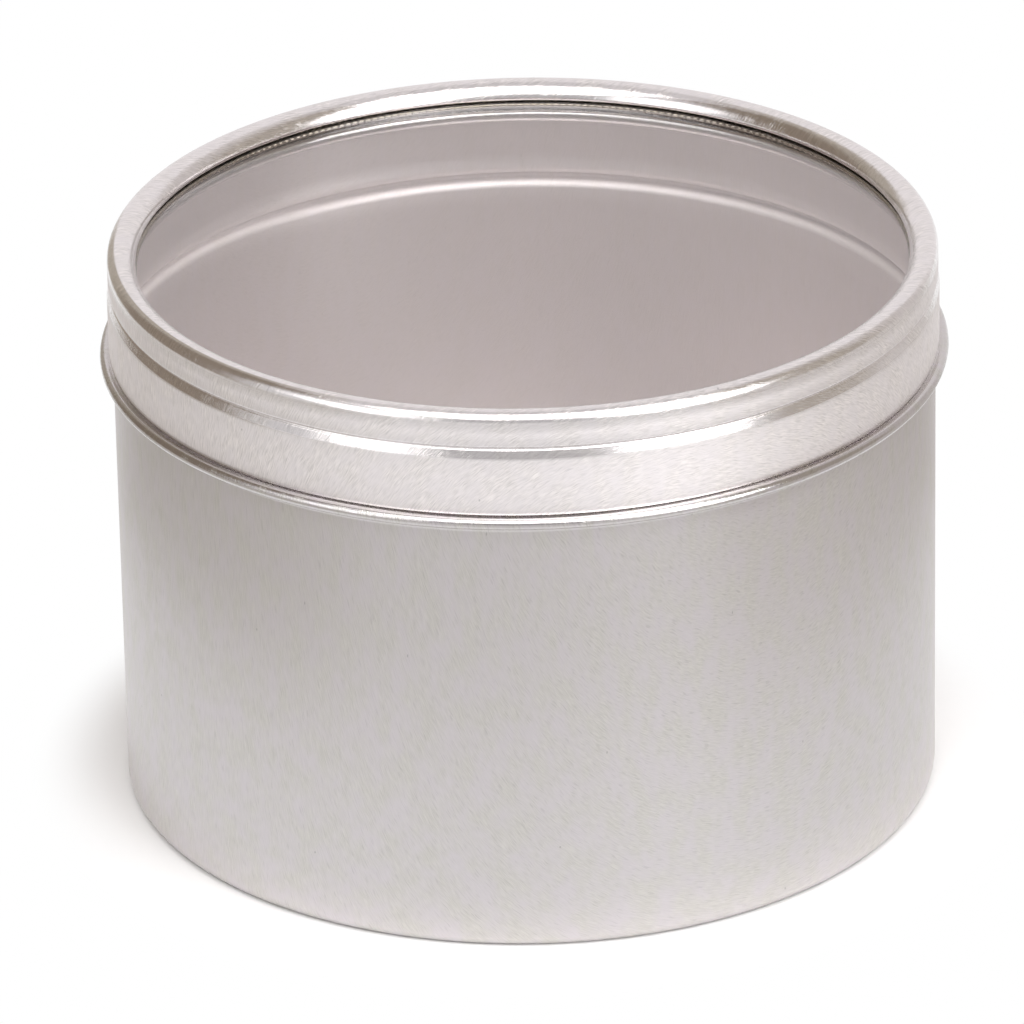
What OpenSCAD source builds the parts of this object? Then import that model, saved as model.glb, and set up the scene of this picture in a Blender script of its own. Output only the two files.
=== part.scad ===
// Round window lid tin, in millimetres.
// The can stands on the plane z = 0 with its axis on Z. Every piece is a body of
// revolution: its outline is drawn as [radius, height] and turned about the axis.
// The steel pieces are bent sheet. Each one is a list of bends, and the straight
// runs between them follow from where one bend ends and the next begins.

/* [Can] */
// Outside diameter of the can's straight wall
can_d = 77; // [60:0.5:110]
// Height of the can, from the foot to the top of its curled mouth
can_h = 51.33; // [40:0.01:90]
// Thickness of the can's tinplate
can_sheet = 0.23; // [0.18:0.01:0.28]
// Radius of the corner between wall and base, outside
base_corner = 1.55; // [1:0.05:3]
// Width of the flat ring that the can stands on
foot_w = 2.75; // [1.5:0.05:5]
// Height that the middle of the base is pressed up by
panel_rise = 0.8; // [0.4:0.05:1.2]
// Radius of the two bends around the raised middle, at mid sheet
panel_bend = 0.8; // [0.7:0.05:1.5]

/* [Mouth and bead] */
// Height of the bead's middle below the top of the mouth
bead_drop = 7.67; // [7.2:0.01:12]
// How far the bead stands out from the wall
bead_proud = 1.22; // [1.1:0.01:1.8]
// Radius inside the bead's nose
bead_fold = 0.33; // [0.2:0.01:0.4]
// Radius of the corner between the wall and the bead's underside
bead_corner = 0.65; // [0.4:0.01:0.7]
// How much smaller the neck above the bead is than the wall, on the radius
neck_inset = 0.22; // [0.1:0.01:0.4]
// Radius of the corner between neck and bead
neck_round = 0.7; // [0.5:0.01:0.75]
// Radius of the mouth's inward curl, outside
curl_round = 0.7; // [0.5:0.01:0.8]
// Turn of the mouth's curl, in degrees
curl_turn = 270; // [200:5:290]

/* [Lid ring] */
// Thickness of the lid's tinplate
lid_sheet = 0.23; // [0.18:0.01:0.28]
// Clearance between the can's neck and the lid's skirt, on the radius
lid_clear = 0.34; // [0.25:0.01:0.5]
// Gap between the skirt's cut edge and the top of the bead
edge_gap = 0.13; // [0.1:0.01:0.6]
// Gap between the pressed crease and the curled mouth that it sits on
seat_gap = 0.12; // [0.1:0.01:0.2]
// Gap between the crease and the line of the neck, on the radius
crease_gap = 0.04; // [0:0.01:0.08]
// Radius at the bottom of the crease
crease_round = 0.15; // [0.1:0.01:0.25]
// Lean of the shoulder under the crease, in degrees
shoulder_lean = 16; // [12:1:20]
// Radius between the shoulder and the skirt
shoulder_round = 1.2; // [0.8:0.05:2]
// Lean of the crease's upper side, in degrees
crease_lean = 50; // [40:1:60]
// How much smaller the band above the crease is than the skirt, on the radius
band_inset = 0.12; // [0.05:0.01:0.15]
// Radius inside the corner between the crease and the band
band_fold = 0.07; // [0.05:0.01:0.15]
// Height of the rim above the crease
crown_h = 3.24; // [3:0.01:4]
// Radius of the rim's outer shoulder
rim_round = 1; // [0.8:0.05:1.2]
// Radius of the rim's inner slope
crown_round = 1.7; // [1.5:0.05:2]
// Turn of the rim's inner slope, in degrees
crown_turn = 76; // [65:1:80]
// Radius inside the safe edge turned under around the window
lip_fold = 0.12; // [0.04:0.01:0.15]

/* [Window and its ring] */
// Thickness of the clear sheet
window_sheet = 0.2; // [0.15:0.01:0.4]
// Gap between the clear sheet and the lid's wall, on the radius
window_gap = 0.3; // [0.2:0.01:0.5]
// Gap between the clear sheet and the lip over it
lip_gap = 0.03; // [0.02:0.01:0.08]
// Thickness of the retaining ring
ring_sheet = 0.25; // [0.2:0.01:0.3]
// Gap between the retaining ring and the lid's wall, on the radius
ring_gap = 0.12; // [0.08:0.01:0.2]
// Width of the retaining ring's flange under the clear sheet
ring_flange = 2.4; // [1.5:0.05:3]
// Radius inside the retaining ring's bend
ring_fold = 0.2; // [0.1:0.01:0.3]

/* [Hidden] */
$fn = 180;
// Largest turn that one facet of a bend makes, in degrees
facet = 12;
tin = [0.80, 0.79, 0.78];
tin_bright = [0.86, 0.85, 0.84];
tin_dark = [0.62, 0.60, 0.57];
clear_sheet = [0.85, 0.90, 0.92, 0.35];

// Can, from the base up
wall_r = can_d / 2;
foot_out = wall_r - base_corner;
foot_in = foot_out - foot_w;
panel_turn = acos(1 - panel_rise / (2 * panel_bend));
panel_r = foot_in - 2 * panel_bend * sin(panel_turn);
bead_nose = bead_fold + can_sheet;
bead_z = can_h - bead_drop;
bead_r = wall_r + bead_proud - bead_nose;
under_r = wall_r + bead_corner;
under_z = bead_z - bead_nose - bead_corner;
ledge_z = bead_z + bead_nose;
neck_r = wall_r - neck_inset;
curl_r = neck_r - curl_round;
curl_z = can_h - curl_round;

// Lid ring, from its cut edge up: its crease sits on the curled mouth
skirt_r = neck_r + lid_clear + lid_sheet;
edge_z = ledge_z + edge_gap;
crease_back = crease_round + lid_sheet;
crease_r = neck_r + crease_gap + crease_back;
crease_z = curl_z + sqrt(pow(curl_round + seat_gap + crease_back, 2) - pow(crease_r - curl_r, 2));
shoulder_r = skirt_r - shoulder_round;
slope_out = shoulder_r + shoulder_round * cos(shoulder_lean);
slope_in = crease_r - crease_round * cos(shoulder_lean);
slope_h = (slope_out - slope_in) / tan(shoulder_lean);
shoulder_z = crease_z - slope_h - (crease_round + shoulder_round) * sin(shoulder_lean);
band_r = skirt_r - band_inset;
corner_round = band_fold + lid_sheet;
corner_r = band_r - corner_round;
bank_in = crease_r - crease_round * cos(crease_lean);
bank_out = corner_r + corner_round * cos(crease_lean);
bank_h = (bank_out - bank_in) / tan(crease_lean);
corner_z = crease_z + bank_h + (crease_round + corner_round) * sin(crease_lean);
top_z = crease_z + crown_h;
rim_r = band_r - rim_round;
crown_end = 90 + crown_turn;
lip_round = lip_fold + lid_sheet;
lip_r = rim_r + (crown_round - lip_round) * cos(crown_end);
lip_z = top_z - crown_round + (crown_round - lip_round) * sin(crown_end);

// Window and its ring, held between the lip and the crease
lid_bore = band_r - lid_sheet;
window_r = lid_bore - window_gap;
window_z = lip_z - lip_round - lip_gap - window_sheet;
ring_r = lid_bore - ring_gap;
ring_bend = ring_fold + ring_sheet;
ring_foot = crease_z + crease_back;

// One bend of the sheet is [centre, radius, from, to]. The angles are those of the
// line square to the sheet's outside. The radius is that of the outside, less than
// zero where the outside is hollow. depth goes from the outside into the sheet.
function bend_line(bend, depth) =
    let (turn = bend[3] - bend[2], steps = max(1, ceil(abs(turn) / facet)))
    [for (i = [0:steps])
        let (a = bend[2] + turn * i / steps)
        bend[0] + (bend[1] - depth) * [cos(a), sin(a)]];

// An edge of the sheet, at a point of its outside that faces angle a
function edge(point, a) = [point, 0, a, a];

function sheet_line(bends, depth) = [for (b = bends) each bend_line(b, depth)];

function backwards(list) = [for (i = [len(list) - 1:-1:0]) list[i]];

// Piece of bent sheet, turned about the axis
module turned_sheet(bends, thick) {
    rotate_extrude() polygon(concat(sheet_line(bends, 0), backwards(sheet_line(bends, thick))));
}

// Drawn can: raised middle of the base, foot, wall, bead, neck and curled mouth
module can_body() {
    hollow = panel_bend - can_sheet / 2;
    bulge = panel_bend + can_sheet / 2;
    color(tin) turned_sheet([
        edge([0, panel_rise], -90),
        [[panel_r, panel_rise - hollow], -hollow, -90, -90 - panel_turn],
        [[foot_in, bulge], bulge, -90 - panel_turn, -90],
        [[foot_out, base_corner], base_corner, -90, 0],
        [[under_r, under_z], -bead_corner, 0, -90],
        [[bead_r, bead_z], bead_nose, -90, 90],
        [[neck_r + neck_round, ledge_z + neck_round], -neck_round, 90, 0],
        [[curl_r, curl_z], curl_round, 0, curl_turn]
    ], can_sheet);
}

// Lid ring: skirt, shoulder, crease, band, rounded rim and the safe edge under it
module lid_ring() {
    color(tin_bright) turned_sheet([
        edge([skirt_r, edge_z], 0),
        [[shoulder_r, shoulder_z], shoulder_round, 0, shoulder_lean],
        [[crease_r, crease_z], -crease_round, shoulder_lean, -crease_lean],
        [[corner_r, corner_z], corner_round, -crease_lean, 0],
        [[rim_r, top_z - rim_round], rim_round, 0, 90],
        [[rim_r, top_z - crown_round], crown_round, 90, crown_end],
        [[lip_r, lip_z], lip_round, crown_end, crown_end + 180]
    ], lid_sheet);
}

// Clear disc that lies on the retaining ring, under the lip
module window() {
    color(clear_sheet) translate([0, 0, window_z]) cylinder(r = window_r, h = window_sheet);
}

// Ring of angle section that the crease holds up against the clear disc
module window_retaining_ring() {
    color(tin_dark) turned_sheet([
        edge([ring_r, ring_foot], 0),
        [[ring_r - ring_bend, window_z - ring_bend], ring_bend, 0, 90],
        edge([ring_r - ring_flange, window_z], 90)
    ], ring_sheet);
}

can_body();
lid_ring();
window();
window_retaining_ring();
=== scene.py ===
# %% [markdown]
# # A tin with a window in its lid
#
# This lesson dresses a round tinplate tin: a drawn can, a slip-on lid ring, a clear window and the
# thin knurled ring that holds the window up. All four are bodies of revolution, pressed from sheet,
# so most of the work is in two places: an outline that bends as the sheet really bends, and a brushed
# finish that runs the way the sheet was rolled before anyone drew it into a cup.

# %% Load the frame
import math

import bpy
import numpy as np
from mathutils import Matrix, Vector


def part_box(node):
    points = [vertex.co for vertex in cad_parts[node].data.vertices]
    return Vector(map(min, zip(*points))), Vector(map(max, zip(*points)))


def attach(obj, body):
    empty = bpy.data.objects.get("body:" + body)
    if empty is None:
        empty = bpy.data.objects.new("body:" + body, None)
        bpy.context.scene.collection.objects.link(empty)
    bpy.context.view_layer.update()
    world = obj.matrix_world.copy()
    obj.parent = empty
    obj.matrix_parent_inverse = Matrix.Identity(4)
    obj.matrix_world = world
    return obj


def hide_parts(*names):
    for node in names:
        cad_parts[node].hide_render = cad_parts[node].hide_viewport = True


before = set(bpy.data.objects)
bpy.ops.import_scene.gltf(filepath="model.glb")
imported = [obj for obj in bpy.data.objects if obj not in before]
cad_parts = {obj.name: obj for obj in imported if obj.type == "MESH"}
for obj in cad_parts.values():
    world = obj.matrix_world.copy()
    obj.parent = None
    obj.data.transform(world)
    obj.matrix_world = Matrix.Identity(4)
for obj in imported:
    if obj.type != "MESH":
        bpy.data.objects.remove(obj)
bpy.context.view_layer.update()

print("pieces in the frame:", sorted(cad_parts))

# %% [markdown]
# ## Sizes
#
# The frame is in metres, but sheet metal is thought of in millimetres. So every size below is in
# millimetres, and is turned to metres once, where a mesh is made. The outer reach of each piece is
# read from the frame. What a box can't tell, such as the radius of a bend, is named where it is used.

# %% Read how far each piece reaches
MM = 0.001


def reach(name):
    """Lowest height, highest height and largest radius of a piece of the frame, in millimetres."""
    low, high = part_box(name)
    return low.z / MM, high.z / MM, high.x / MM


foot_z, can_top, bead_out = reach("can_body")
edge_z, lid_top, skirt_r = reach("lid_ring")
window_low, window_high, window_r = reach("window")
ring_foot, ring_high, ring_r = reach("window_retaining_ring")
print(f"can {can_top:.2f} mm high and {2 * bead_out:.2f} mm across the bead, lid top at {lid_top:.2f} mm")

# %% [markdown]
# ## The camera
#
# The tin is seen through a long lens, from in front and a little above. That keeps its ellipses calm
# and its sides nearly upright. The camera is placed by where it stands, by how far it looks down, and
# by the small turn and roll that any hand-set tripod has.

# %% Place the camera
CAMERA_PLACE = (0.0, -823.5, 423.2)
LOOKS_DOWN = 25.75
TURNED_LEFT = 0.10
ROLLED = -1.09
LENS = 340.4

camera = bpy.data.objects.new("camera", bpy.data.cameras.new("camera"))
bpy.context.scene.collection.objects.link(camera)
bpy.context.scene.camera = camera
camera.data.lens = LENS
camera.data.sensor_width = 36.0
camera.data.clip_end = 20.0
camera.location = Vector(CAMERA_PLACE) * MM
camera.rotation_euler = (math.radians(90 - LOOKS_DOWN), 0.0, math.radians(TURNED_LEFT))
camera.rotation_euler.rotate_axis("Z", math.radians(ROLLED))
print("camera", round(camera.location.length, 3), "m from the foot of the tin, lens", LENS, "mm")

# %% [markdown]
# ## Drawing a bent sheet
#
# A pressed sheet is a row of round bends with straight runs between them, so that is how each outline
# is written down: the centre of a bend, the radius of its outside, and the way the outside faces where
# the bend starts and where it ends. A straight run needs no numbers, because it joins the end of one
# bend to the start of the next.
#
# A bend also carries a burnish from 0 to 1. The tool rubs the sheet where it bends it over an edge,
# so the bends of a pressed tin shine while the flats between them stay brushed.

# %% Walk along the sheet
FACET = 9.0      # largest turn from one row of a bend to the next, in degrees
RUN = 1.5        # longest straight step, in millimetres
FADE = 0.5       # how far a burnish fades into the flat beside a bend, in millimetres


def bend(centre, radius, start, end, burnish=0.0, burnish_end=None):
    """One bend. Angles face square out of the outside; a hollow bend has a radius below zero."""
    steps = max(1, math.ceil(abs(end - start) / FACET)) if radius else 0
    last = burnish if burnish_end is None else burnish_end
    rows = []
    for i in range(steps + 1):
        t = i / steps if steps else 0.0
        a = start + (end - start) * t
        r = centre[0] + radius * math.cos(math.radians(a))
        z = centre[1] + radius * math.sin(math.radians(a))
        rows.append((r, z, a, burnish + (last - burnish) * t))
    return rows


def edge(point, facing):
    """A cut edge of the sheet, or its middle."""
    return bend(point, 0.0, facing, facing)


def walk(bends):
    """Rows of radius, height, facing angle and burnish along the outside of the sheet."""
    rows = list(bends[0])
    for after in bends[1:]:
        (r0, z0, a0, b0), (r1, z1, a1, b1) = rows[-1], after[0]
        length = math.hypot(r1 - r0, z1 - z0)
        steps = max(1, math.ceil(length / RUN))
        for i in range(1, steps):
            t = i / steps
            shine = max(b0 * (1 - t * length / FADE), b1 * (1 - (1 - t) * length / FADE), 0.0)
            rows.append((r0 + (r1 - r0) * t, z0 + (z1 - z0) * t, a0 + (a1 - a0) * t, shine))
        rows.extend(after if length > 1e-6 else after[1:])
    return np.array(rows)


# %% [markdown]
# ## Where each point lay in the flat blank
#
# The grain of tinplate is straight while the sheet is flat. Drawing a cup from a round blank keeps
# the amount of metal, so a ring of the cup came from the ring of the blank that held as much metal.
# That gives each point its place in the blank, and the grain is laid out there. On the finished wall
# it comes out steep on one side and level a quarter turn on, and it stretches towards the mouth, where
# the blank was squeezed in most. That is also how it runs on the real tin.

# %% Find the blank and turn an outline into a mesh
AROUND = 256     # columns in a full turn


def blank_radius(rows, thick):
    """Radius in the flat blank of each row, from equal areas along the middle of the sheet."""
    a = np.radians(rows[:, 2])
    r = rows[:, 0] - thick / 2 * np.cos(a)
    z = rows[:, 1] - thick / 2 * np.sin(a)
    step = np.hypot(np.diff(r), np.diff(z))
    area = np.concatenate([[0.0], np.cumsum(step * (r[1:] + r[:-1]))])
    return np.sqrt(r[0] ** 2 + area)


def sheet_outline(bends, thick, middle_first=True):
    """Rows all round the section of a sheet: radius, height, facing, burnish, blank radius, side.

    A row is written twice where the facing jumps, so that a cut edge stays crisp.
    """
    rows = walk(bends)
    blank = blank_radius(rows, thick) if middle_first else blank_radius(rows[::-1], thick)[::-1]
    face = np.radians(rows[:, 2])
    zero, one = np.zeros(len(rows)), np.ones(len(rows))
    out = np.stack([rows[:, 0], rows[:, 1], face, rows[:, 3], blank, zero], 1)
    back = np.stack([
        rows[:, 0] - thick * np.cos(face),
        rows[:, 1] - thick * np.sin(face),
        face + math.pi,
        rows[:, 3],
        blank,
        one,
    ], 1)[::-1]
    cut_end, cut_start = np.stack([out[-1], back[0]]), np.stack([back[-1], out[0]])
    cut_end[:, 2] = face[-1] + math.pi / 2
    cut_start[:, 2] = face[0] - math.pi / 2
    return np.concatenate([out, cut_end, back, cut_start])


def revolve(name, rows, grain, around=AROUND, capped=False, shape=None):
    """Turns an outline about the axis. A capped outline starts and ends at a flat middle.

    grain is the way the rolling lines run in the blank, in degrees. shape may press a pattern into
    the points, and the normals then follow the pressed faces.
    """
    total = len(rows)
    moved = np.concatenate([[True], np.hypot(np.diff(rows[:, 0]), np.diff(rows[:, 1])) > 1e-7])
    ring = np.cumsum(moved) - 1
    first = np.flatnonzero(moved)
    if not capped and np.hypot(*(rows[0, :2] - rows[-1, :2])) < 1e-7:
        ring[ring == ring[-1]] = 0
        first = first[:-1]
    phi = np.arange(around) * 2 * math.pi / around
    radius = np.repeat(rows[first, :1], around, 1)
    height = np.repeat(rows[first, 1:2], around, 1)
    if shape is not None:
        radius, height = shape(radius, height, phi[None, :])
    points = np.stack([radius * np.cos(phi), radius * np.sin(phi), height], 2).reshape(-1, 3) * MM

    a = np.array([k for k in range(total - 1) if ring[k] != ring[k + 1]])
    row = np.stack([a, a, a + 1, a + 1], 1)[:, None, :].repeat(around, 1).reshape(-1, 4)
    col = (np.arange(around)[:, None] + [0, 1, 1, 0])[None].repeat(len(a), 0).reshape(-1, 4)
    faces = (ring[row] * around + col % around).tolist()
    side = rows[row[:, 0], 5].astype(int).tolist()
    row, col = row.ravel(), col.ravel()
    if capped:
        for k, turn in ((0, -1), (total - 1, 1)):
            spokes = np.arange(around)[::turn]
            faces.append((ring[k] * around + spokes).tolist())
            side.append(int(rows[k, 5]))
            row, col = np.append(row, np.full(around, k)), np.append(col, spokes)

    mesh = bpy.data.meshes.new(name)
    mesh.from_pydata(points.tolist(), [], faces)
    mesh.polygons.foreach_set("use_smooth", [True] * len(faces))
    mesh.polygons.foreach_set("material_index", side)
    angle = col * 2 * math.pi / around
    x, y = rows[row, 4] * np.cos(angle), rows[row, 4] * np.sin(angle)
    g = math.radians(grain)
    flat = np.stack([x * math.cos(g) + y * math.sin(g), y * math.cos(g) - x * math.sin(g)], 1)
    layer = mesh.uv_layers.new(name="blank")
    layer.uv.foreach_set("vector", flat.astype(np.float32).ravel())
    burnish = mesh.attributes.new("burnish", "FLOAT", "POINT")
    burnish.data.foreach_set("value", np.repeat(rows[first, 3], around).astype(np.float32))
    if shape is None:
        tilt = rows[row, 2]
        normals = np.stack([np.cos(tilt) * np.cos(angle), np.cos(tilt) * np.sin(angle), np.sin(tilt)], 1)
        mesh.normals_split_custom_set(normals.tolist())
    piece = bpy.data.objects.new(name, mesh)
    bpy.context.scene.collection.objects.link(piece)
    print(f"{name}: {len(mesh.vertices)} points, {len(mesh.polygons)} faces")
    return piece


# %% [markdown]
# ## The can
#
# A seamless can is drawn in one stroke from a round blank, so base, wall, bead and mouth are the same
# sheet. The press leaves a foot ring and a middle pushed up, so that the tin doesn't rock. The bead is
# rolled outward under the neck, and stops the lid. The mouth is curled inward: the cut edge is hidden
# and the rim comes out stiff. The middle of the base is flat, so its outline starts a little way out
# and is closed with one flat face.

# %% Draw the can
TIN = 0.23
MIDDLE = 6.0
BASE_CORNER = 1.1
FOOT_W = 2.75
PANEL_RISE = 0.8
PANEL_BEND = 0.8
BEAD_DROP = 7.67
BEAD_PROUD = 1.22
BEAD_FOLD = 0.33
BEAD_CORNER = 0.65
NECK_INSET = 0.22
NECK_ROUND = 0.7
CURL_ROUND = 0.7
CURL_TURN = 270

wall_r = bead_out - BEAD_PROUD
foot_out = wall_r - BASE_CORNER
foot_in = foot_out - FOOT_W
panel_turn = math.degrees(math.acos(1 - PANEL_RISE / (2 * PANEL_BEND)))
panel_r = foot_in - 2 * PANEL_BEND * math.sin(math.radians(panel_turn))
hollow, bulge = PANEL_BEND - TIN / 2, PANEL_BEND + TIN / 2
bead_nose = BEAD_FOLD + TIN
bead_z = can_top - BEAD_DROP
bead_r = bead_out - bead_nose
under_r, under_z = wall_r + BEAD_CORNER, bead_z - bead_nose - BEAD_CORNER
bead_top = bead_z + bead_nose
neck_r = wall_r - NECK_INSET
curl_r, curl_z = neck_r - CURL_ROUND, can_top - CURL_ROUND

can_bends = [
    edge((MIDDLE, PANEL_RISE), -90),
    bend((panel_r, PANEL_RISE - hollow), -hollow, -90, -90 - panel_turn, 0.4),
    bend((foot_in, bulge), bulge, -90 - panel_turn, -90, 0.4),
    bend((foot_out, BASE_CORNER), BASE_CORNER, -90, 0, 0.3),
    bend((under_r, under_z), -BEAD_CORNER, 0, -90, 0.3, 0.8),
    bend((bead_r, bead_z), bead_nose, -90, 90, 1.0),
    bend((neck_r + NECK_ROUND, bead_top + NECK_ROUND), -NECK_ROUND, 90, 0, 0.5),
    bend((curl_r, curl_z), CURL_ROUND, 0, CURL_TURN, 1.0),
]
CAN_GRAIN = 215
can = revolve("drawn_can", sheet_outline(can_bends, TIN)[:-2], CAN_GRAIN, capped=True)
blank_across = 2 * blank_radius(walk(can_bends), TIN)[-1]
print(f"wall {2 * wall_r:.2f} mm across, drawn from a blank about {blank_across:.0f} mm across")

# %% [markdown]
# ## The lid ring
#
# The lid starts as the same sort of cup, and its middle is then cut out. The skirt goes over the neck
# of the can. A crease is rolled in above it: on the real tin this is what the lid sits on, and what
# carries the ring under the window. Its lower side is the sloping shoulder that catches the light.
# Above it a straight band leads to a rounded rim, and the cut edge of the opening is folded under,
# so that fingers meet a smooth lip.

# %% Draw the lid ring
CREASE_ROUND = 0.15
SEAT_GAP = 0.02
CREASE_GAP = 0.0
LEDGE_ROUND = 0.2
LEDGE_LEAN = 50
SHOULDER_LEAN = 16
SHOULDER_ROUND = 1.2
CREASE_LEAN = 50
BAND_INSET = 0.12
BAND_FOLD = 0.07
RIM_ROUND = 1.0
CROWN_ROUND = 1.7
CROWN_TURN = 76
LIP_FOLD = 0.12
TUCK_ROUND = 3.0
TUCK_LEAN = 10

crease_back = CREASE_ROUND + TIN
crease_r = neck_r + CREASE_GAP + crease_back
crease_z = curl_z + math.sqrt((CURL_ROUND + SEAT_GAP + crease_back) ** 2 - (crease_r - curl_r) ** 2)
shoulder_r = skirt_r - SHOULDER_ROUND
lean, ledge, rise = (math.radians(a) for a in (SHOULDER_LEAN, LEDGE_LEAN, CREASE_LEAN))
tuck_z = edge_z + TUCK_ROUND * math.sin(math.radians(TUCK_LEAN))
ledge_r = crease_r - (CREASE_ROUND + LEDGE_ROUND) * math.cos(ledge)
ledge_z = crease_z - (CREASE_ROUND + LEDGE_ROUND) * math.sin(ledge)
slope_w = shoulder_r - ledge_r + (SHOULDER_ROUND - LEDGE_ROUND) * math.cos(lean)
shoulder_z = ledge_z - slope_w / math.tan(lean) - (SHOULDER_ROUND - LEDGE_ROUND) * math.sin(lean)
band_r = skirt_r - BAND_INSET
corner_round = BAND_FOLD + TIN
corner_r = band_r - corner_round
bank_w = corner_r - crease_r + (corner_round + CREASE_ROUND) * math.cos(rise)
corner_z = crease_z + bank_w / math.tan(rise) + (CREASE_ROUND + corner_round) * math.sin(rise)
rim_r = band_r - RIM_ROUND
crown_end = 90 + CROWN_TURN
lip_round = LIP_FOLD + TIN
lip_r = rim_r + (CROWN_ROUND - lip_round) * math.cos(math.radians(crown_end))
lip_z = lid_top - CROWN_ROUND + (CROWN_ROUND - lip_round) * math.sin(math.radians(crown_end))

lid_bends = [
    bend((skirt_r - TUCK_ROUND, tuck_z), TUCK_ROUND, -TUCK_LEAN, 0, 0.9, 0.1),
    bend((shoulder_r, shoulder_z), SHOULDER_ROUND, 0, SHOULDER_LEAN, 0.1, 0.9),
    bend((ledge_r, ledge_z), LEDGE_ROUND, SHOULDER_LEAN, LEDGE_LEAN, 0.9),
    bend((crease_r, crease_z), -CREASE_ROUND, LEDGE_LEAN, -CREASE_LEAN, 1.0),
    bend((corner_r, corner_z), corner_round, -CREASE_LEAN, 0, 0.8, 0.4),
    bend((rim_r, lid_top - RIM_ROUND), RIM_ROUND, 0, 90, 0.8, 1.0),
    bend((rim_r, lid_top - CROWN_ROUND), CROWN_ROUND, 90, crown_end, 1.0),
    bend((lip_r, lip_z), lip_round, crown_end, crown_end + 180, 1.0),
]
LID_GRAIN = 205
lid = revolve("lid_rim", sheet_outline(lid_bends, TIN, middle_first=False), LID_GRAIN)
print(f"shoulder {crease_z - shoulder_z:.2f} mm high, opening {2 * (lip_r - lip_round):.2f} mm across")

# %% [markdown]
# ## The knurled ring
#
# Under the clear disc lies a thin ring of angle section. Its inner edge is knurled: a toothed wheel
# presses one small dent after another into it. Seen through the window these teeth are the fine row
# of bright dots under the far lip. The number of teeth follows from their pitch.

# %% Draw the ring and press its teeth
RING_TIN = 0.25
RING_FOLD = 0.2
RING_FLANGE = 2.4
KNURL_PITCH = 0.7
KNURL_DEEP = 0.09
KNURL_WIDE = 0.5

ring_bend = RING_FOLD + RING_TIN
ring_in = ring_r - RING_FLANGE
KNURLS = round(2 * math.pi * ring_in / KNURL_PITCH)
ring_bends = [
    edge((ring_r, ring_foot), 0),
    bend((ring_r - ring_bend, ring_high - ring_bend), ring_bend, 0, 90, 0.5),
    edge((ring_in + KNURL_WIDE, ring_high), 90),
    edge((ring_in, ring_high), 90),
]


def knurl(radius, height, phi):
    """Presses a round dent into the inner edge at each tooth, and thins the metal there."""
    near = np.clip(1 - (radius - ring_in) / KNURL_WIDE, 0, 1) ** 2
    wave = 0.5 - 0.5 * np.cos(phi * KNURLS)
    return radius + KNURL_DEEP * near * wave, height - 0.5 * KNURL_DEEP * near * wave


ring_rows = sheet_outline(ring_bends, RING_TIN, middle_first=False)
ring = revolve("knurled_ring", ring_rows, LID_GRAIN, KNURLS * 6, shape=knurl)
print(KNURLS, "teeth round the inner edge of the ring")

# %% [markdown]
# ## The window
#
# The window is punched from clear PET sheet 0.2 mm thick. Punching rounds its edge a little, and that
# soft edge is the only part of it that shows a line of light.

# %% Draw the window
SOFT = 0.05
window_bends = [
    edge((MIDDLE, window_low), -90),
    bend((window_r - SOFT, window_low + SOFT), SOFT, -90, 0),
    bend((window_r - SOFT, window_high - SOFT), SOFT, 0, 90),
    edge((MIDDLE, window_high), 90),
]
rows = walk(window_bends)
none = np.zeros(len(rows))
window_rows = np.stack([rows[:, 0], rows[:, 1], np.radians(rows[:, 2]), none, rows[:, 0], none], 1)
window = revolve("clear_window", window_rows, 0, capped=True)

# %% [markdown]
# ## Building finishes from nodes
#
# Two small helpers carry all the finishes: one turns a hex colour into the linear numbers that shaders
# take, the other adds a node, sets it and feeds it.

# %% Helpers for the finishes


def linear(hexa):
    """An sRGB hex colour as linear red, green, blue and alpha."""
    parts = [int(hexa[i:i + 2], 16) / 255 for i in (1, 3, 5)]
    return [p / 12.92 if p <= 0.04045 else ((p + 0.055) / 1.055) ** 2.4 for p in parts] + [1.0]


def node(tree, kind, inputs=None, **settings):
    """Adds one node. inputs gives each socket a value, or the output that feeds it."""
    made = tree.nodes.new("ShaderNode" + kind)
    for key, value in settings.items():
        setattr(made, key, value)
    for key, value in (inputs or {}).items():
        if isinstance(value, bpy.types.NodeSocket):
            tree.links.new(value, made.inputs[key])
        else:
            made.inputs[key].default_value = value
    return made


def new_material(name):
    """An empty material and its node tree."""
    made = bpy.data.materials.new(name)
    made.use_nodes = True
    made.node_tree.nodes.clear()
    return made, made.node_tree


# %% [markdown]
# ## Brushed tinplate
#
# Tinplate is steel with a coat of tin less than a thousandth of a millimetre thick, so it shows tin's
# warm white. The mill finish of the steel shows through it: short strokes, about 0.1 to 0.2 mm wide and
# one to three millimetres long, all along the rolling direction. They come in patches, with a few
# darker scratches and tiny specks between them.
#
# Each stroke is both a slight change of brightness and a slight tilt of the surface. Where a bend is
# burnished, the roughness falls, and the tilt of the strokes breaks the ends of the highlights into
# fibres. Tin also stains very slightly, so the colour drifts a little between two close tints.

# %% Make the tinplate
HAIR = (0.9, 0.07)        # length and width of the finest strokes, in millimetres
STREAK = (1.3, 0.12)      # the same for the broader ones
SCRATCH = (1.3, 0.10)     # and for the dark ones
PATCH = 2.6               # size of the patches that strokes come in
SWAY, SWAY_OVER = 0.25, 1.5    # how far strokes stray to one side, and over what distance
SPECKS = 16.0             # distance between specks


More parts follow.
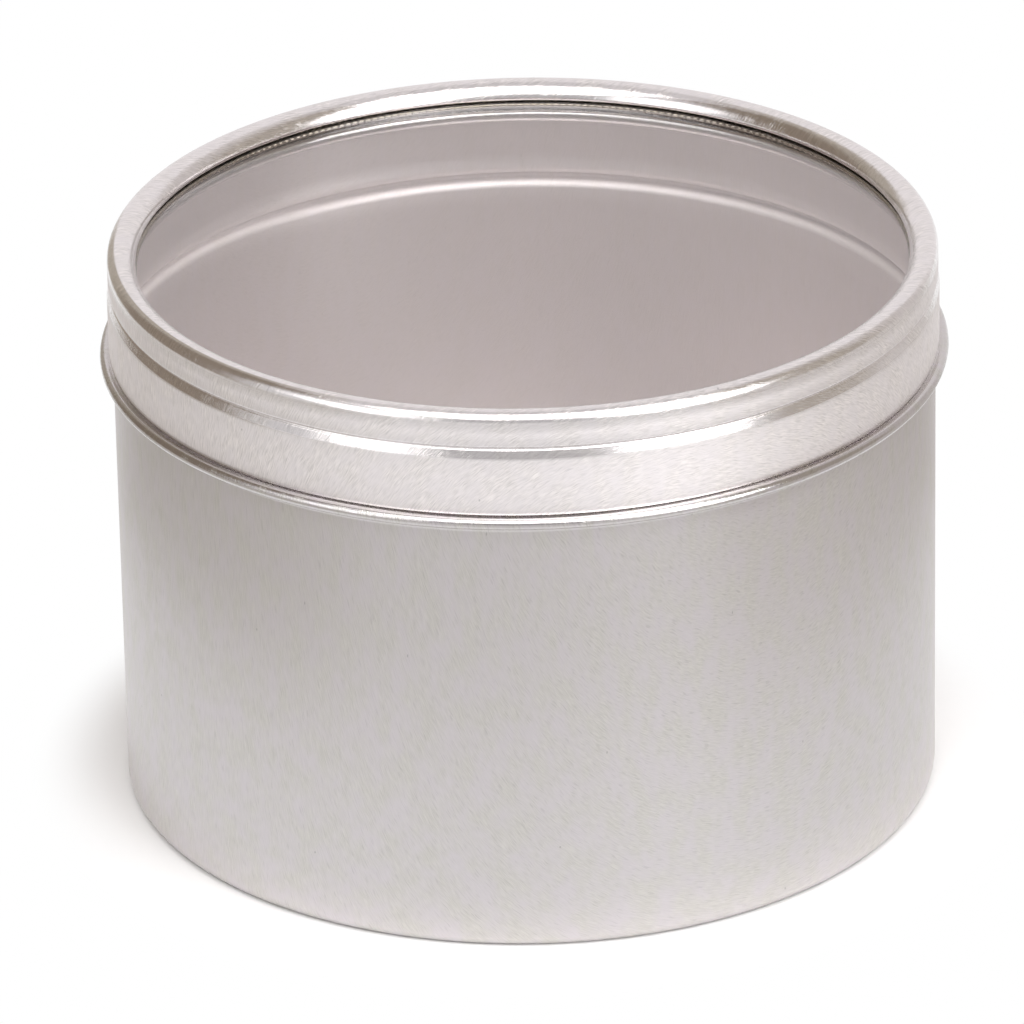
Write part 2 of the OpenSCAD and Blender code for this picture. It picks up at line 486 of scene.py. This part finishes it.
def tinplate(name, cool, warm, rough, burnished, strokes, marks, anisotropy):
    """Brushed tinplate. strokes and marks say how much these change the brightness."""
    made, tree = new_material(name)
    flat = node(tree, "UVMap", uv_map="blank").outputs[0]
    sway = node(tree, "VectorMath", {0: flat, 1: (1 / SWAY_OVER, 1 / SWAY_OVER, 0)}, operation="MULTIPLY")
    sway = node(tree, "TexNoise", {"Vector": sway.outputs[0], "Scale": 1.0, "Detail": 1.0},
                noise_dimensions="2D")
    brushed = node(tree, "VectorMath", {0: sway.outputs[1], 1: (SWAY, SWAY, 0), 2: flat},
                   operation="MULTIPLY_ADD").outputs[0]

    def grain(size, detail, shift):
        at = node(tree, "VectorMath", {0: brushed, 1: (1 / size[0], 1 / size[1], 0), 2: (shift, shift, 0)},
                  operation="MULTIPLY_ADD")
        noise = node(tree, "TexNoise", {"Vector": at.outputs[0], "Scale": 1.0, "Detail": detail},
                     noise_dimensions="2D")
        return noise.outputs[0]

    hair, streak = grain(HAIR, 2.0, 0.0), grain(STREAK, 2.0, 17.3)
    dark, patch = grain(SCRATCH, 0.0, 41.9), grain((PATCH, PATCH), 2.0, 5.1)
    both = node(tree, "Math", {0: hair, 1: streak}, operation="ADD").outputs[0]
    stroke = node(tree, "MapRange", {0: both, 1: 0.7, 2: 1.3, 3: -1.0, 4: 1.0}).outputs[0]
    where = node(tree, "MapRange", {0: patch, 1: 0.35, 2: 0.65, 3: 0.4, 4: 1.0}).outputs[0]
    stroke = node(tree, "Math", {0: stroke, 1: where}, operation="MULTIPLY").outputs[0]
    scratch = node(tree, "MapRange", {0: dark, 1: 0.70, 2: 0.80, 3: 0.0, 4: marks}).outputs[0]
    cell = node(tree, "VectorMath", {0: flat, 1: (1 / SPECKS, 1 / SPECKS, 0)}, operation="MULTIPLY")
    speck = node(tree, "TexVoronoi", {"Vector": cell.outputs[0], "Scale": 1.0}, voronoi_dimensions="2D")
    spot = node(tree, "MapRange", {0: speck.outputs["Distance"], 1: 0.003, 2: 0.008, 3: 3 * marks, 4: 0.0})
    level = node(tree, "Math", {0: stroke, 1: strokes, 2: 1.0}, operation="MULTIPLY_ADD").outputs[0]
    level = node(tree, "Math", {0: level, 1: scratch}, operation="SUBTRACT").outputs[0]
    level = node(tree, "Math", {0: level, 1: spot.outputs[0]}, operation="SUBTRACT").outputs[0]
    drift = node(tree, "MapRange", {0: patch, 1: 0.3, 2: 0.7}).outputs[0]
    tint = node(tree, "Mix", {0: drift, 6: linear(cool), 7: linear(warm)}, data_type="RGBA").outputs[2]
    colour = node(tree, "VectorMath", {0: tint, "Scale": level}, operation="SCALE").outputs[0]

    burnish = node(tree, "Attribute", attribute_name="burnish").outputs["Fac"]
    gloss = node(tree, "MapRange", {0: burnish, 1: 0.0, 2: 1.0, 3: rough, 4: burnished}).outputs[0]
    gloss = node(tree, "Math", {0: stroke, 1: -0.03, 2: gloss}, operation="MULTIPLY_ADD").outputs[0]
    bump = node(tree, "Bump", {"Strength": 1.0, "Distance": 0.000004, "Height": stroke}).outputs[0]
    along = node(tree, "Tangent", direction_type="UV_MAP", uv_map="blank").outputs[0]
    metal = node(tree, "BsdfPrincipled", {
        "Base Color": colour,
        "Metallic": 1.0,
        "Roughness": gloss,
        "Anisotropic": anisotropy,
        "Anisotropic Rotation": 0.25,
        "Tangent": along,
        "Normal": bump,
    })
    node(tree, "OutputMaterial", {0: metal.outputs[0]})
    return made


can_finish = tinplate("brushed_can_sheet", "#CFCACC", "#CCC9C5", 0.40, 0.14, 0.07, 0.10, 0.3)
lid_finish = tinplate("brushed_lid_sheet", "#EBE7E8", "#EAE6E5", 0.60, 0.13, 0.14, 0.10, 0.2)
inner_finish = tinplate("plain_tin_inside", "#EBE4E4", "#EAE3E1", 0.44, 0.85, 0.02, 0.03, 0.3)
# The ring's tint is darker than tin: partly its own brownish tone, partly painted shade for the dark
# hollow under the lid's lip that its glossy top mirrors.
ring_tin_painted_shade = tinplate("knurled_ring_painted_shade", "#A8A198", "#A49C8E", 0.15, 0.12, 0.04, 0.05, 0.3)
print("finishes:", [m.name for m in (can_finish, lid_finish, inner_finish, ring_tin_painted_shade)])

# %% [markdown]
# ## Clear sheet
#
# PET is clear, and its faces are glossy from the roller. Each face throws back a twentieth of the
# light that meets it head on, and more at a slant, by Schlick's rule. The rest goes straight on: light
# that enters a flat sheet is bent, but it is bent back on the way out, and the sheet is too thin for
# that to move what is seen through it.

# %% Make the clear sheet


def clear_sheet(name):
    """Clear polyester sheet."""
    made, tree = new_material(name)
    slant = node(tree, "LayerWeight", {"Blend": 0.5}).outputs["Facing"]
    power = node(tree, "Math", {0: slant, 1: 5.0}, operation="POWER").outputs[0]
    back = node(tree, "Math", {0: power, 1: 0.95, 2: 0.05}, operation="MULTIPLY_ADD").outputs[0]
    through = node(tree, "BsdfTransparent", {0: linear("#FFFFFF")}).outputs[0]
    gloss = node(tree, "BsdfGlossy", {"Color": linear("#FFFFFF"), "Roughness": 0.03}).outputs[0]
    both = node(tree, "MixShader", {0: back, 1: through, 2: gloss})
    node(tree, "OutputMaterial", {0: both.outputs[0]})
    return made


window_finish = clear_sheet("clear_polyester")

# %% [markdown]
# ## Dress the pieces
#
# Each piece takes the place of its plain twin in the frame and moves with the body that carries it.
# The outside and the inside of a sheet are two finishes of one piece.

# %% Put the finishes on and hand the pieces over
for piece, finishes, body, node_name, slot in (
    (can, (can_finish, inner_finish), "can", "can_body", "can_tinplate"),
    (lid, (lid_finish, inner_finish), "lid", "lid_ring", "lid_tinplate"),
    (ring, (ring_tin_painted_shade, ring_tin_painted_shade), "lid", "window_retaining_ring", "ring_tinplate"),
    (window, (window_finish,), "lid", "window", "clear_sheet"),
):
    for finish in finishes:
        piece.data.materials.append(finish)
    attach(piece, body)
    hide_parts(node_name)
    print(f"{piece.name} replaces {node_name} and moves with {body}")

# %% [markdown]
# ## The white sweep
#
# The tin stands on white paper. Close to it the paper is lit as it is, and so keeps the tin's shadow.
# Farther out it turns to plain white, for the camera and also for the metal and the clear sheet, which
# mirror it.

# %% Lay the floor
FLOOR_R = 3.0
LIT_TO, WHITE_FROM = 0.0395, 0.048


def flat_piece(name, points):
    """One flat face."""
    mesh = bpy.data.meshes.new(name)
    mesh.from_pydata(points, [], [list(range(len(points)))])
    piece = bpy.data.objects.new(name, mesh)
    bpy.context.scene.collection.objects.link(piece)
    return piece


def white_paper():
    """Paper that is lit near the tin and plain white farther out."""
    made, tree = new_material("white_paper")
    path = node(tree, "LightPath").outputs
    seen = node(tree, "Math", {0: path["Is Camera Ray"], 1: path["Is Glossy Ray"]}, operation="MAXIMUM")
    seen = node(tree, "Math", {0: seen.outputs[0], 1: path["Is Transmission Ray"]}, operation="MAXIMUM")
    place = node(tree, "NewGeometry").outputs["Position"]
    away = node(tree, "VectorMath", {0: place}, operation="LENGTH").outputs["Value"]
    far = node(tree, "MapRange", {0: away, 1: LIT_TO, 2: WHITE_FROM}, interpolation_type="SMOOTHSTEP")
    share = node(tree, "Math", {0: seen.outputs[0], 1: far.outputs[0]}, operation="MULTIPLY").outputs[0]
    paper = node(tree, "BsdfDiffuse", {0: linear("#F0F0F0")}).outputs[0]
    white = node(tree, "Emission", {0: (1, 1, 1, 1), 1: 1.0}).outputs[0]
    both = node(tree, "MixShader", {0: share, 1: paper, 2: white})
    node(tree, "OutputMaterial", {0: both.outputs[0]})
    return made


turns = [2 * math.pi * i / 96 for i in range(96)]
floor = flat_piece("floor", [(FLOOR_R * math.cos(t), FLOOR_R * math.sin(t), 0.0) for t in turns])
floor.data.materials.append(white_paper())

# %% [markdown]
# ## Light and cards
#
# Metal is lit by what it mirrors. Read off the rim of the lid, which mirrors the whole room, the studio
# is this: a large softbox above the camera, a round one at the left and at the right, and between them
# the dim gap where the photographer stands. The left is an olive wall, the right a beige one, and the
# rest is pale grey up to a white ceiling. Flat sheets on the table tint what the wall of the can
# mirrors. The cards are only seen in the metal.

# %% Set up the cards and lamps


def polar(azimuth, distance, height):
    """A place by its azimuth in degrees (the camera is at -90), distance and height in metres."""
    a = math.radians(azimuth)
    return (distance * math.cos(a), distance * math.sin(a), height)


def card(name, from_az, to_az, distance, low, high, colour, spread=0.0):
    """A curved card round the tin, in a plain colour: upright, or lying flat over a spread."""
    steps = 24
    points, faces = [], []
    for i in range(steps + 1):
        azimuth = from_az + (to_az - from_az) * i / steps
        points += [polar(azimuth, distance, low), polar(azimuth, distance + spread, high)]
        if i:
            faces.append([2 * i - 2, 2 * i - 1, 2 * i + 1, 2 * i])
    mesh = bpy.data.meshes.new(name)
    mesh.from_pydata(points, [], faces)
    piece = bpy.data.objects.new(name, mesh)
    bpy.context.scene.collection.objects.link(piece)
    made, tree = new_material(name)
    light = node(tree, "Emission", {0: linear(colour), 1: 1.0})
    node(tree, "OutputMaterial", {0: light.outputs[0]})
    mesh.materials.append(made)
    piece.visible_camera = False
    piece.visible_shadow = False
    return piece


def softbox(name, azimuth, distance, height, wide, high, radiance, shape, roll=0):
    """A flat lamp that faces the tin. A radiance of 1 shows as white in a mirror."""
    area = wide * high * (math.pi / 4 if shape == "ELLIPSE" else 1)
    lamp = bpy.data.lights.new(name, "AREA")
    lamp.shape = shape
    lamp.size, lamp.size_y = wide, high
    lamp.energy = radiance * math.pi * area
    piece = bpy.data.objects.new(name, lamp)
    bpy.context.scene.collection.objects.link(piece)
    piece.location = polar(azimuth, distance, height)
    piece.rotation_euler = (Vector((0, 0, 0.04)) - piece.location).to_track_quat("-Z", "Y").to_euler()
    piece.rotation_euler.rotate_axis("Z", math.radians(roll))
    piece.visible_camera = False
    print(name, "at azimuth", azimuth, "gives", round(lamp.energy, 1), "W")
    return piece


card("photographer_gap", -126, -70, 0.60, 0.002, 0.34, "#BFBDBD")
card("front_wall", -166, -20, 1.00, 0.002, 1.00, "#CECCCC")
card("olive_wall", 143, 196, 0.20, 0.002, 0.40, "#8C8073")
card("olive_wall_end", 118, 143, 0.20, 0.002, 0.40, "#B4ACA0")
card("beige_wall", -24, 15, 0.50, 0.002, 1.00, "#B2AAA0")
card("beige_wall_end", 15, 45, 0.50, 0.002, 1.00, "#D0CAC7")
card("grey_wall", 45, 143, 0.50, 0.002, 1.00, "#F2EEEE")
card("grey_sheet", -130, -45, 0.085, 0.0004, 0.0005, "#E5E3E2", spread=0.42)
card("olive_sheet", 143, 230, 0.085, 0.0004, 0.0005, "#CECAC5", spread=0.42)
card("beige_sheet", -45, 45, 0.085, 0.0004, 0.0005, "#D2CDC9", spread=0.42)
card("ceiling", -180, 180, 0.00, 1.00, 1.0001, "#DAD6D6", spread=1.00)
softbox("key_softbox", -82, 0.45, 0.70, 0.90, 0.70, 2.5, "RECTANGLE")
softbox("left_softbox", -135, 0.50, 0.22, 0.28, 0.46, 1.4, "ELLIPSE", roll=25)
softbox("right_softbox", -48, 0.50, 0.28, 0.46, 0.58, 2.2, "ELLIPSE")

# %% [markdown]
# ## The ceiling and the background
#
# The world is plain white: the camera sees it as the background, and the metal sees it above the
# cards as a white ceiling.

# %% Set the world and the view
world = bpy.data.worlds.new("studio")
bpy.context.scene.world = world
world.use_nodes = True
world.node_tree.nodes.clear()
white = node(world.node_tree, "Background", {0: (1, 1, 1, 1), 1: 1.0})
node(world.node_tree, "OutputWorld", {0: white.outputs[0]})
bpy.context.scene.view_settings.view_transform = "Standard"
